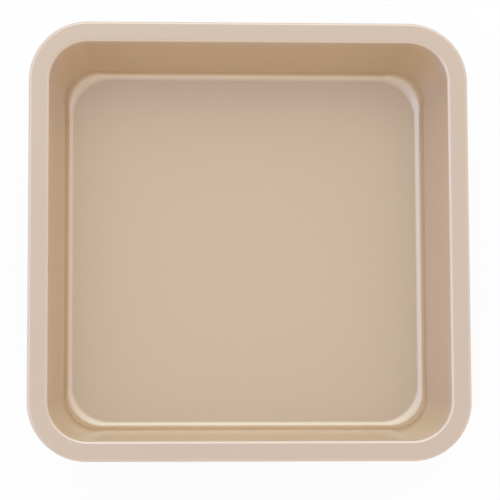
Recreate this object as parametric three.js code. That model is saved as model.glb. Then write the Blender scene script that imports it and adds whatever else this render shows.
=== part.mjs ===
// A square baking pan pressed from one blank of steel sheet that is coated on both sides.
// Millimetres, +Z up. The origin is under the middle of the base, on the surface that the pan stands on.

import * as THREE from 'three';

// Driving dimensions. Sizes across and radii are those of the food side, which the press forms.
const MOUTH_ACROSS = 203.2;         // between opposite walls, carried up to the top of the rim
const RIM_WIDTH = 10.4;             // from there out to the rolled edge
const DEPTH = 46;                   // from the top of the rim down to the floor
const WALL_DRAFT = THREE.MathUtils.degToRad(10.3);   // lean of the side walls from upright
const MOUTH_CORNER_RADIUS = 19.8;   // plan radius of the walls' corners, carried up to the top of the rim
const BASE_CORNER_RADIUS = 17.6;    // plan radius of the walls' corners, carried down to the floor
const FOOT_RADIUS_AT_SIDES = 4.2;   // round between the floor and a side wall
const FOOT_RADIUS_IN_CORNERS = 7.8; // the same round in the middle of a corner, where the drawn sheet needs more
const LIP_RADIUS = 2;               // round between the walls and the rim
const ROLL_RADIUS = 1.5;            // outside of the edge that is rolled under the rim
const ROLL_TURN = THREE.MathUtils.degToRad(270);
const STEEL_THICKNESS = 0.7;
const COAT_THICKNESS = 0.03;

// Facets: steps of each round, and of each quarter turn of the outline.
const CORNER_STEPS = 8;
const FOOT_STEPS = 6;
const LIP_STEPS = 5;
const ROLL_STEPS = 12;

const QUARTER_TURN = Math.PI / 2;
const HALF_QUARTER = QUARTER_TURN / 2;
const CORNERS = 4;

// Depths below the food side at which one layer of the coated sheet ends and the next begins.
const STEEL_TOP = COAT_THICKNESS;
const STEEL_BOTTOM = STEEL_TOP + STEEL_THICKNESS;
const SHEET_BOTTOM = STEEL_BOTTOM + COAT_THICKNESS;

const FLOOR_Z = SHEET_BOTTOM;
const RIM_Z = FLOOR_Z + DEPTH;

// A rounded square, by the distance from the middle to its corners' axes along each side, and their radius.
function roundedSquare(half, radius) {
  return { axis: half - radius, radius };
}

// How far a rounded square reaches along a direction that is turned by angle from a side's own direction.
function reach(outline, angle) {
  return outline.axis * (Math.cos(angle) + Math.sin(angle)) + outline.radius;
}

const MOUTH_HALF = MOUTH_ACROSS / 2;
const BASE_HALF = MOUTH_HALF - DEPTH * Math.tan(WALL_DRAFT);

const mouth = roundedSquare(MOUTH_HALF, MOUTH_CORNER_RADIUS);
const base = roundedSquare(BASE_HALF, BASE_CORNER_RADIUS);
const rim = roundedSquare(MOUTH_HALF + RIM_WIDTH, MOUTH_CORNER_RADIUS + RIM_WIDTH);

// The wall's rise above the horizontal, which is less in the corners, where the outlines lie further apart.
function wallRise(angle) {
  return Math.atan2(DEPTH, reach(mouth, angle) - reach(base, angle));
}

// Length that a round takes off each of the two faces that it joins, per millimetre of its radius.
function tangentShare(angle) {
  return Math.tan(wallRise(angle) / 2);
}

// The flat floor ends where the foot begins. Its corner radius is the one that gives the foot its two radii.
function floorOutline() {
  const setback = FOOT_RADIUS_AT_SIDES * tangentShare(0);
  const cornerSetback = FOOT_RADIUS_IN_CORNERS * tangentShare(HALF_QUARTER);
  const half = BASE_HALF - setback;
  const sharpReach = half * Math.SQRT2;
  const wantedReach = reach(base, HALF_QUARTER) - cornerSetback;
  return roundedSquare(half, (sharpReach - wantedReach) / (Math.SQRT2 - 1));
}

const floor = floorOutline();

// Points along a round of the sheet. The heading is the way the sheet runs, from level outwards at 0 up to
// straight up at a quarter turn, and the axis is that of the outline's corner at each point.
function round({ centreReach, centreZ, radius, headings, axisAt, steps }) {
  const side = Math.sign(headings[1] - headings[0]);
  const points = [];
  for (let step = 0; step <= steps; step += 1) {
    const heading = THREE.MathUtils.lerp(headings[0], headings[1], step / steps);
    points.push({
      reach: centreReach + side * radius * Math.sin(heading),
      z: centreZ - side * radius * Math.cos(heading),
      heading,
      axis: axisAt(heading),
    });
  }
  return points;
}

// The sheet's food side cut square to its outline, from the floor's edge up the wall, over the rim and round
// the roll to the trimmed edge. Along the foot and the lip the corner's axis moves with the tangent of half
// the heading, which keeps the sheet square to the section.
function section(angle) {
  const rise = wallRise(angle);
  const share = tangentShare(angle);
  const wallAxisAt = (height) => THREE.MathUtils.lerp(base.axis, mouth.axis, height / DEPTH);
  const axisBetween = (levelAxis, wallAxis) => (heading) => (
    THREE.MathUtils.lerp(levelAxis, wallAxis, Math.tan(heading / 2) / share)
  );

  const footLength = reach(base, angle) - reach(floor, angle);
  const footRadius = footLength / share;
  const foot = round({
    centreReach: reach(floor, angle),
    centreZ: FLOOR_Z + footRadius,
    radius: footRadius,
    headings: [0, rise],
    axisAt: axisBetween(floor.axis, wallAxisAt(footLength * Math.sin(rise))),
    steps: FOOT_STEPS,
  });

  const lipLength = LIP_RADIUS * share;
  const lip = round({
    centreReach: reach(mouth, angle) + lipLength,
    centreZ: RIM_Z - LIP_RADIUS,
    radius: LIP_RADIUS,
    headings: [rise, 0],
    axisAt: axisBetween(mouth.axis, wallAxisAt(DEPTH - lipLength * Math.sin(rise))),
    steps: LIP_STEPS,
  });

  const roll = round({
    centreReach: reach(rim, angle) - ROLL_RADIUS,
    centreZ: RIM_Z - ROLL_RADIUS,
    radius: ROLL_RADIUS,
    headings: [0, -ROLL_TURN],
    axisAt: () => rim.axis,
    steps: ROLL_STEPS,
  });

  return [...foot, ...lip, ...roll];
}

// Sections all round the pan, with the direction that each one faces.
function allSections() {
  const sections = [];
  for (let corner = 0; corner < CORNERS; corner += 1) {
    for (let step = 0; step <= CORNER_STEPS; step += 1) {
      const angle = (step / CORNER_STEPS) * QUARTER_TURN;
      const offAxis = Math.cos(angle) - Math.sin(angle);
      sections.push({ facing: corner * QUARTER_TURN + angle, offAxis, points: section(angle) });
    }
  }
  return sections;
}

const sections = allSections();
const rows = sections[0].points.length;

// The sheet's surface at a depth below the food side: the middle of the floor, then section by section.
function skin(depth) {
  const positions = [0, 0, FLOOR_Z - depth];
  for (const { facing, offAxis, points } of sections) {
    for (const point of points) {
      const out = point.reach + depth * Math.sin(point.heading);
      const along = point.axis * offAxis;
      positions.push(
        out * Math.cos(facing) - along * Math.sin(facing),
        out * Math.sin(facing) + along * Math.cos(facing),
        point.z - depth * Math.cos(point.heading),
      );
    }
  }
  return positions;
}

// One layer of the sheet as a closed solid: its two skins, joined along the trimmed edge.
function layerGeometry(topDepth, bottomDepth) {
  const top = skin(topDepth);
  const bottom = skin(bottomDepth);
  const bottomStart = top.length / 3;
  const vertex = (place, row) => 1 + (place % sections.length) * rows + row;
  const faces = [];
  const addToBothSkins = (a, b, c) => {
    faces.push(a, b, c);
    faces.push(bottomStart + a, bottomStart + c, bottomStart + b);
  };

  for (let place = 0; place < sections.length; place += 1) {
    addToBothSkins(0, vertex(place, 0), vertex(place + 1, 0));
    for (let row = 0; row < rows - 1; row += 1) {
      addToBothSkins(vertex(place, row), vertex(place, row + 1), vertex(place + 1, row + 1));
      addToBothSkins(vertex(place, row), vertex(place + 1, row + 1), vertex(place + 1, row));
    }
    const edge = vertex(place, rows - 1);
    const nextEdge = vertex(place + 1, rows - 1);
    faces.push(edge, bottomStart + edge, bottomStart + nextEdge);
    faces.push(edge, bottomStart + nextEdge, nextEdge);
  }

  const geometry = new THREE.BufferGeometry();
  geometry.setAttribute('position', new THREE.Float32BufferAttribute([...top, ...bottom], 3));
  geometry.setIndex(faces);
  geometry.computeVertexNormals();
  return geometry;
}

function layer(name, topDepth, bottomDepth, finish) {
  const mesh = new THREE.Mesh(layerGeometry(topDepth, bottomDepth), new THREE.MeshStandardMaterial(finish));
  mesh.name = name;
  return mesh;
}

const champagneCoat = { color: 0xceb8a1, roughness: 0.42, metalness: 0.5 };
const bareSteel = { color: 0xa9a9ab, roughness: 0.35, metalness: 1 };

const pan = new THREE.Group();
pan.add(
  layer('inside_nonstick_coat', 0, STEEL_TOP, champagneCoat),
  layer('pressed_steel_shell', STEEL_TOP, STEEL_BOTTOM, bareSteel),
  layer('outside_nonstick_coat', STEEL_BOTTOM, SHEET_BOTTOM, champagneCoat),
);

export default pan;
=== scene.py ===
"""A square baking pan of coated steel sheet, seen almost straight from above on a white studio floor.

Metres, +Z up, in the part's own frame: the origin is under the middle of the base.
"""

import math

import bpy
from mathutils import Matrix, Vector


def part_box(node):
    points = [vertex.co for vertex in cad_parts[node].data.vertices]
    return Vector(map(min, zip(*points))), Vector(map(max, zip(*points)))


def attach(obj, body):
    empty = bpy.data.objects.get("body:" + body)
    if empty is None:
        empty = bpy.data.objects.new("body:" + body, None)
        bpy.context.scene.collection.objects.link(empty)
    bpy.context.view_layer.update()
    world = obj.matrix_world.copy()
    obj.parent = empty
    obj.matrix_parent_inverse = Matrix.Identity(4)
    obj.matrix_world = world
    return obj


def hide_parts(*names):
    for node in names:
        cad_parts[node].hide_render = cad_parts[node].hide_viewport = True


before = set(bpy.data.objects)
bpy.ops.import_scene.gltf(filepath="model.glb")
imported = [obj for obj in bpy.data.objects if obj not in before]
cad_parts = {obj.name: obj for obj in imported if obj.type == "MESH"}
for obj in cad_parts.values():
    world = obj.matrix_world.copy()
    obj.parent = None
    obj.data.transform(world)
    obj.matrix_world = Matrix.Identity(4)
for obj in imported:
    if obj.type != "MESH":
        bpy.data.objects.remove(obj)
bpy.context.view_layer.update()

MM = 0.001
QUARTER_TURN = math.pi / 2
CORNERS = 4

# Depths below the food side at which one layer of the sheet ends and the next begins, from the solids.
inside_low, inside_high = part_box("inside_nonstick_coat")
steel_low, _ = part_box("pressed_steel_shell")
COAT_THICKNESS = steel_low.z
STEEL_TOP = COAT_THICKNESS
STEEL_BOTTOM = STEEL_TOP + inside_low.z - steel_low.z
SHEET_BOTTOM = STEEL_BOTTOM + COAT_THICKNESS

# The food side's sizes. The mouth is between the walls, carried up to the top of the rim, and the draft is
# the walls' lean from upright.
RIM_ACROSS = inside_high.x - inside_low.x
RIM_Z = inside_high.z
FLOOR_Z = SHEET_BOTTOM
DEPTH = RIM_Z - FLOOR_Z
MOUTH_ACROSS = 203.2 * MM
WALL_DRAFT = math.radians(10.3)
MOUTH_CORNER_RADIUS = 19.8 * MM
BASE_CORNER_RADIUS = 17.6 * MM
FOOT_RADIUS_AT_SIDES = 4.2 * MM
FOOT_RADIUS_IN_CORNERS = 7.8 * MM
LIP_RADIUS = 2 * MM
ROLL_RADIUS = 1.5 * MM
ROLL_TURN = math.radians(270)

# Steps of each round, fine enough to look smooth close up.
CORNER_STEPS = 24
FOOT_STEPS = 20
LIP_STEPS = 14
ROLL_STEPS = 36


# Shape of the pressed sheet

def mix(a, b, share):
    """The value that lies a share of the way from a to b."""
    return a + (b - a) * share


class RoundedSquare:
    """An outline in plan: the place of its corners' axes along each side, and their radius."""

    def __init__(self, half, radius):
        self.axis = half - radius
        self.radius = radius

    def reach(self, angle):
        """How far the outline reaches along a direction turned by angle from a side's own direction."""
        return self.axis * (math.cos(angle) + math.sin(angle)) + self.radius


BASE_ACROSS = MOUTH_ACROSS - 2 * DEPTH * math.tan(WALL_DRAFT)
RIM_WIDTH = (RIM_ACROSS - MOUTH_ACROSS) / 2

mouth = RoundedSquare(MOUTH_ACROSS / 2, MOUTH_CORNER_RADIUS)
base = RoundedSquare(BASE_ACROSS / 2, BASE_CORNER_RADIUS)
rim = RoundedSquare(RIM_ACROSS / 2, MOUTH_CORNER_RADIUS + RIM_WIDTH)


def wall_rise(angle):
    """The wall's angle above level, which is less in the corners."""
    return math.atan2(DEPTH, mouth.reach(angle) - base.reach(angle))


def tangent_share(angle):
    """Length that a round takes off each of the faces that it joins, per metre of its radius."""
    return math.tan(wall_rise(angle) / 2)


def floor_outline():
    """The flat floor's outline, with the corner radius that gives the foot its two radii."""
    mid_corner = QUARTER_TURN / 2
    half = BASE_ACROSS / 2 - FOOT_RADIUS_AT_SIDES * tangent_share(0)
    wanted_reach = base.reach(mid_corner) - FOOT_RADIUS_IN_CORNERS * tangent_share(mid_corner)
    return RoundedSquare(half, (half * math.sqrt(2) - wanted_reach) / (math.sqrt(2) - 1))


floor_edge = floor_outline()


def round_points(centre, radius, headings, axis_at, steps):
    """Points (reach, height, heading, corner axis) along a round of the sheet, which runs at the headings."""
    side = math.copysign(1, headings[1] - headings[0])
    points = []
    for step in range(steps + 1):
        heading = mix(headings[0], headings[1], step / steps)
        reach = centre[0] + side * radius * math.sin(heading)
        height = centre[1] - side * radius * math.cos(heading)
        points.append((reach, height, heading, axis_at(heading)))
    return points


def section(angle):
    """The food side cut square to its outline, from the floor's edge over the rim to the trimmed edge."""
    rise = wall_rise(angle)
    share = tangent_share(angle)

    def wall_axis(height):
        return mix(base.axis, mouth.axis, height / DEPTH)

    def axis_between(level_axis, sloping_axis):
        """The corner's axis along a round, which moves so that the sheet stays square to the section."""
        return lambda heading: mix(level_axis, sloping_axis, math.tan(heading / 2) / share)

    foot_length = base.reach(angle) - floor_edge.reach(angle)
    foot_radius = foot_length / share
    foot = round_points(
        centre=(floor_edge.reach(angle), FLOOR_Z + foot_radius),
        radius=foot_radius,
        headings=(0, rise),
        axis_at=axis_between(floor_edge.axis, wall_axis(foot_length * math.sin(rise))),
        steps=FOOT_STEPS,
    )

    lip_length = LIP_RADIUS * share
    lip = round_points(
        centre=(mouth.reach(angle) + lip_length, RIM_Z - LIP_RADIUS),
        radius=LIP_RADIUS,
        headings=(rise, 0),
        axis_at=axis_between(mouth.axis, wall_axis(DEPTH - lip_length * math.sin(rise))),
        steps=LIP_STEPS,
    )

    roll = round_points(
        centre=(rim.reach(angle) - ROLL_RADIUS, RIM_Z - ROLL_RADIUS),
        radius=ROLL_RADIUS,
        headings=(0, -ROLL_TURN),
        axis_at=lambda heading: rim.axis,
        steps=ROLL_STEPS,
    )
    return foot + lip + roll


def all_sections():
    """Sections all round the pan, each with the angle in its corner and the direction that it faces."""
    sections = []
    for corner in range(CORNERS):
        for step in range(CORNER_STEPS + 1):
            angle = step / CORNER_STEPS * QUARTER_TURN
            sections.append((angle, corner * QUARTER_TURN + angle, section(angle)))
    return sections


SECTIONS = all_sections()
ROWS = len(SECTIONS[0][2])


def skin(depth):
    """Points and normals of the sheet's surface at a depth below the food side, floor's middle first."""
    points = [Vector((0, 0, FLOOR_Z - depth))]
    normals = [Vector((0, 0, 1))]
    for angle, facing, rows in SECTIONS:
        out = Vector((math.cos(facing), math.sin(facing), 0))
        along = Vector((-math.sin(facing), math.cos(facing), 0))
        off_axis = math.cos(angle) - math.sin(angle)
        for reach, height, heading, axis in rows:
            normal = Vector((0, 0, math.cos(heading))) - out * math.sin(heading)
            point = out * reach + along * (axis * off_axis) + Vector((0, 0, height))
            points.append(point - normal * depth)
            normals.append(normal)
    return points, normals


def layer(name, top_depth, bottom_depth):
    """One layer of the sheet as a closed mesh: its two skins, joined along the trimmed edge."""
    top_points, top_normals = skin(top_depth)
    bottom_points, bottom_normals = skin(bottom_depth)
    under = len(top_points)
    normals = top_normals + [-normal for normal in bottom_normals]
    faces = []

    def vertex(place, row):
        return 1 + place % len(SECTIONS) * ROWS + row

    for place in range(len(SECTIONS)):
        skin_faces = [(0, vertex(place, 0), vertex(place + 1, 0))]
        for row in range(ROWS - 1):
            near, far = (vertex(place, row), vertex(place, row + 1))
            next_near, next_far = (vertex(place + 1, row), vertex(place + 1, row + 1))
            skin_faces.append((near, far, next_far, next_near))
        faces += skin_faces
        faces += [tuple(under + v for v in reversed(face)) for face in skin_faces]
    trim_start = len(faces)
    for place in range(len(SECTIONS)):
        edge, next_edge = (vertex(place, ROWS - 1), vertex(place + 1, ROWS - 1))
        faces.append((edge, under + edge, under + next_edge, next_edge))

    mesh = bpy.data.meshes.new(name)
    mesh.from_pydata(top_points + bottom_points, [], faces)
    mesh.shade_smooth()
    loop_normals = []
    for polygon in mesh.polygons:
        for v in polygon.vertices:
            loop_normals.append(polygon.normal if polygon.index >= trim_start else normals[v])
    mesh.normals_split_custom_set(loop_normals)
    piece = bpy.data.objects.new(name, mesh)
    bpy.context.scene.collection.objects.link(piece)
    return piece


# Shader nodes

def feed(tree, fed, inputs):
    """Give a node's inputs, by name or number, a plain value or another node's output each."""
    for key, value in inputs.items():
        if isinstance(value, bpy.types.NodeSocket):
            tree.links.new(value, fed.inputs[key])
        else:
            fed.inputs[key].default_value = value


def node(tree, kind, inputs=None, **settings):
    """A new node with its settings and inputs."""
    made = tree.nodes.new(kind)
    for key, value in settings.items():
        setattr(made, key, value)
    feed(tree, made, inputs or {})
    return made


def maths(tree, operation, a, b):
    """The result of an operation on two numbers."""
    return node(tree, "ShaderNodeMath", {0: a, 1: b}, operation=operation).outputs[0]


def vector_maths(tree, operation, *vectors):
    """The result of an operation on one or two vectors."""
    made = node(tree, "ShaderNodeVectorMath", dict(enumerate(vectors)), operation=operation)
    return made.outputs["Value" if operation == "DOT_PRODUCT" else "Vector"]


def carried(tree, value, start, end, **settings):
    """A value carried from the range start to the range end, and kept within it."""
    inputs = {"Value": value, "From Min": start[0], "From Max": start[1], "To Min": end[0], "To Max": end[1]}
    return node(tree, "ShaderNodeMapRange", inputs, **settings).outputs["Result"]


def past_edge(tree, value, edge):
    """A smooth rise from 0 to 1 between the two ends of an edge."""
    return carried(tree, value, edge, (0, 1), interpolation_type="SMOOTHSTEP")


def blended(tree, share, a, b, **settings):
    """The colour that lies a share of the way from a to b, or from a to what the settings make of both."""
    inputs = {"Factor": share, "A": a, "B": b}
    return node(tree, "ShaderNodeMix", inputs, data_type="RGBA", **settings).outputs["Result"]


def noise(tree, place, size, detail=2.0):
    """Soft noise whose blotches are about size metres across."""
    inputs = {"Vector": place, "Scale": 1 / size, "Detail": detail}
    return node(tree, "ShaderNodeTexNoise", inputs).outputs["Fac"]


def new_material(name):
    """A material with its nodes and its shader."""
    material = bpy.data.materials.new(name)
    material.use_nodes = True
    tree = material.node_tree
    return material, tree, tree.nodes["Principled BSDF"]


# Materials

NOISE_RANGE = (0.3, 0.7)            # noise seldom leaves it

# The coat, in linear colours. Its tone runs from the dark colour at 0 to the pale one at 1.
COAT_DARK = (0.508, 0.335, 0.152, 1)
COAT_PALE = (0.70, 0.498, 0.263, 1)
FLAKE_SIZE = 0.35 * MM
FLAKE_TONE = (0.46, 0.54)
FLAKE_ROUGHNESS = (0.52, 0.58)
FLAKE_DETAIL = 1.0
MOTTLE_SIZE = 30 * MM
MOTTLE_TONE = (-0.012, 0.012)       # added to the flake's tone
PEEL_SIZE = 1.2 * MM
PEEL_DEPTH = 0.02 * MM
PEEL_STRENGTH = 0.05

# Painted light: the coat is made a little paler and cooler on the rim than in the well, standing in for the
# cool low light that the open rim catches and the well does not. It changes by this factor, which sets in
# between the two heights.
RIM_PAINTED_LIGHT = (1, 1.05, 1.32, 1)
RIM_PAINTED_LIGHT_EDGE = (RIM_Z - 4 * ROLL_RADIUS, RIM_Z - 2 * ROLL_RADIUS)

STEEL_DARK = (0.36, 0.36, 0.37, 1)
STEEL_PALE = (0.44, 0.44, 0.45, 1)
STEEL_ROUGHNESS = (0.3, 0.42)
GRAIN_SIZE = 0.2 * MM


def champagne_coat(name):
    """Satin non-stick coat: a warm base full of fine flake under a smooth film with a slight orange peel."""
    material, tree, shader = new_material(name)
    place = node(tree, "ShaderNodeTexCoord").outputs["Object"]
    flake = noise(tree, place, FLAKE_SIZE, FLAKE_DETAIL)
    mottle = noise(tree, place, MOTTLE_SIZE)
    flake_tone = carried(tree, flake, NOISE_RANGE, FLAKE_TONE)
    mottle_tone = carried(tree, mottle, NOISE_RANGE, MOTTLE_TONE)
    shade = blended(tree, maths(tree, "ADD", flake_tone, mottle_tone), COAT_DARK, COAT_PALE)

    # Painted light: above these heights the coat's colour is multiplied paler and cooler, for the light that
    # the rim catches.
    height = node(tree, "ShaderNodeSeparateXYZ", {"Vector": place}).outputs["Z"]
    painted_rim_light = past_edge(tree, height, RIM_PAINTED_LIGHT_EDGE)
    feed(tree, shader, {
        "Base Color": blended(tree, painted_rim_light, shade, RIM_PAINTED_LIGHT, blend_type="MULTIPLY"),
        "Roughness": carried(tree, flake, NOISE_RANGE, FLAKE_ROUGHNESS),
        "Metallic": 0.6,
    })

    # The flake near the surface makes the base and the film shine more than clear resin does.
    feed(tree, shader, {"IOR": 2.6, "Coat Weight": 1.0, "Coat Roughness": 0.15, "Coat IOR": 2.4})

    peel = noise(tree, place, PEEL_SIZE)
    bump = node(tree, "ShaderNodeBump", {"Height": peel, "Distance": PEEL_DEPTH, "Strength": PEEL_STRENGTH})
    feed(tree, shader, {"Normal": bump.outputs["Normal"], "Coat Normal": bump.outputs["Normal"]})
    return material


def bare_steel():
    """Cold-rolled sheet, grey with a fine grain, which shows only at the trimmed edge."""
    material, tree, shader = new_material("bare_steel")
    place = node(tree, "ShaderNodeTexCoord").outputs["Object"]
    grain = noise(tree, place, GRAIN_SIZE)
    feed(tree, shader, {
        "Base Color": blended(tree, grain, STEEL_DARK, STEEL_PALE),
        "Roughness": carried(tree, grain, NOISE_RANGE, STEEL_ROUGHNESS),
        "Metallic": 1.0,
    })
    return material


# Pieces of the pan

def add_piece(name, node_name, top_depth, bottom_depth, material):
    """A layer of the sheet, in place of the solid that it dresses."""
    piece = layer(name, top_depth, bottom_depth)
    piece.data.materials.append(material)
    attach(piece, "root")
    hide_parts(node_name)


add_piece("inside_coat", "inside_nonstick_coat", 0, STEEL_TOP, champagne_coat("inside_coat"))
add_piece("steel_shell", "pressed_steel_shell", STEEL_TOP, STEEL_BOTTOM, bare_steel())
add_piece("outside_coat", "outside_nonstick_coat", STEEL_BOTTOM, SHEET_BOTTOM,
          champagne_coat("outside_coat"))


# Studio

FLOOR_SIZE = 12.0
FLOOR_DROP = 0.3 * MM       # below the pan's base, so that the two surfaces stay apart
FLOOR_COLOUR = (0.9, 0.9, 0.9, 1)
WHITE_SHARE = 0.92          # how much of the floor's white is its own, the rest takes the pan's shadow

# A white tent round the pan gives soft light, most of it from behind. Each side of the tent has the level
# way to its middle, the power by which its light narrows, and a linear colour, warm in front and cool behind.
TENT_SIDES = {
    "right": ((1, 0), 2.5, (1.06, 1.01, 1.12)),
    "back": ((0, 1), 2, (1.7, 1.87, 1.98)),
    "left": ((-1, 0), 3, (1.2, 1.3, 1.75)),
    "front": ((0, -1), 2.5, (1.14, 1.07, 0.98)),
}

# The tent's hem at the horizon, and the degrees above it between which the hem gives way to the sides.
TENT_HEM = (1.12, 1.12, 1.15, 1)
HEM_EDGE = (10, 26)

# Dimmer round parts of the tent's roof, the second over the first: the way to the middle, the degrees from
# it between which the light around gives way to the part, and a linear colour.
TENT_ROOF = {
    "front": ((-0.07, -0.36, 1), (23, 13), (0.8, 0.81, 0.92, 1)),
    "opening": ((0.13, 0.14, 1), (20, 12), (0.63, 0.63, 0.70, 1)),
}

# The camera's lens and sensor in millimetres, its place, and its turn in degrees.
LENS = 167.11
SENSOR_WIDTH = 36
CAMERA_PLACE = (-61.9 * MM, -139.4 * MM, RIM_Z + 1164.6 * MM)
CAMERA_TURN = (6.566, -3.02, -0.223)


def sees_white(tree):
    """1 for the rays that show the white floor: from the camera, by a reflection or through glass."""
    path = node(tree, "ShaderNodeLightPath").outputs
    seen = maths(tree, "MAXIMUM", path["Is Camera Ray"], path["Is Glossy Ray"])
    return maths(tree, "MAXIMUM", seen, path["Is Transmission Ray"])


def studio_floor():
    """A wide pale floor, which is the white background and keeps the pan's shadow."""
    bpy.ops.mesh.primitive_plane_add(size=FLOOR_SIZE, location=(0, 0, -FLOOR_DROP))
    floor = bpy.context.object
    floor.name = "studio_floor"
    material, tree, shader = new_material("studio_floor")
    feed(tree, shader, {"Base Color": FLOOR_COLOUR, "Roughness": 1.0, "Specular IOR Level": 0.0})
    white = node(tree, "ShaderNodeEmission", {"Strength": 1.0}).outputs["Emission"]
    share = maths(tree, "MULTIPLY", sees_white(tree), WHITE_SHARE)
    blend = node(tree, "ShaderNodeMixShader", {"Fac": share, 1: shader.outputs["BSDF"], 2: white})
    feed(tree, tree.nodes["Material Output"], {"Surface": blend.outputs["Shader"]})
    floor.data.materials.append(material)


def tent_side(tree, level_way, middle, narrowness, colour):
    """The light from one side, which fades by a power of the cosine towards the sides next to it."""
    facing = vector_maths(tree, "DOT_PRODUCT", level_way, (*middle, 0))
    share = maths(tree, "POWER", maths(tree, "MAXIMUM", facing, 0), narrowness)
    lit = node(tree, "ShaderNodeVectorMath", {0: colour, "Scale": share}, operation="SCALE")
    return lit.outputs["Vector"]


def roof_part(tree, way, light, middle, edge, colour):
    """The light with a round part of another colour, whose edge is in degrees from its middle."""
    towards = vector_maths(tree, "DOT_PRODUCT", way, Vector(middle).normalized())
    inside = past_edge(tree, towards, [math.cos(math.radians(angle)) for angle in edge])
    return blended(tree, inside, light, colour)


def studio_world():
    """Soft light from all round: the sides, hem and roof of a white tent."""
    world = bpy.data.worlds.new("studio")
    world.use_nodes = True
    bpy.context.scene.world = world
    tree = world.node_tree
    way = node(tree, "ShaderNodeTexCoord").outputs["Generated"]
    level_way = vector_maths(tree, "NORMALIZE", vector_maths(tree, "MULTIPLY", way, (1, 1, 0)))

    light = (0, 0, 0)
    for side in TENT_SIDES.values():
        light = vector_maths(tree, "ADD", light, tent_side(tree, level_way, *side))
    height = vector_maths(tree, "DOT_PRODUCT", way, (0, 0, 1))
    above_hem = past_edge(tree, height, [math.sin(math.radians(angle)) for angle in HEM_EDGE])
    light = blended(tree, above_hem, TENT_HEM, light)
    for part in TENT_ROOF.values():
        light = roof_part(tree, way, light, *part)
    feed(tree, tree.nodes["Background"], {"Color": light})


def camera():
    """The photograph's view."""
    lens = bpy.data.cameras.new("camera")
    lens.sensor_width = SENSOR_WIDTH
    lens.lens = LENS
    eye = bpy.data.objects.new("camera", lens)
    eye.location = CAMERA_PLACE
    eye.rotation_euler = [math.radians(angle) for angle in CAMERA_TURN]
    bpy.context.scene.collection.objects.link(eye)
    bpy.context.scene.camera = eye


studio_floor()
studio_world()
camera()
bpy.context.scene.view_settings.view_transform = "Standard"
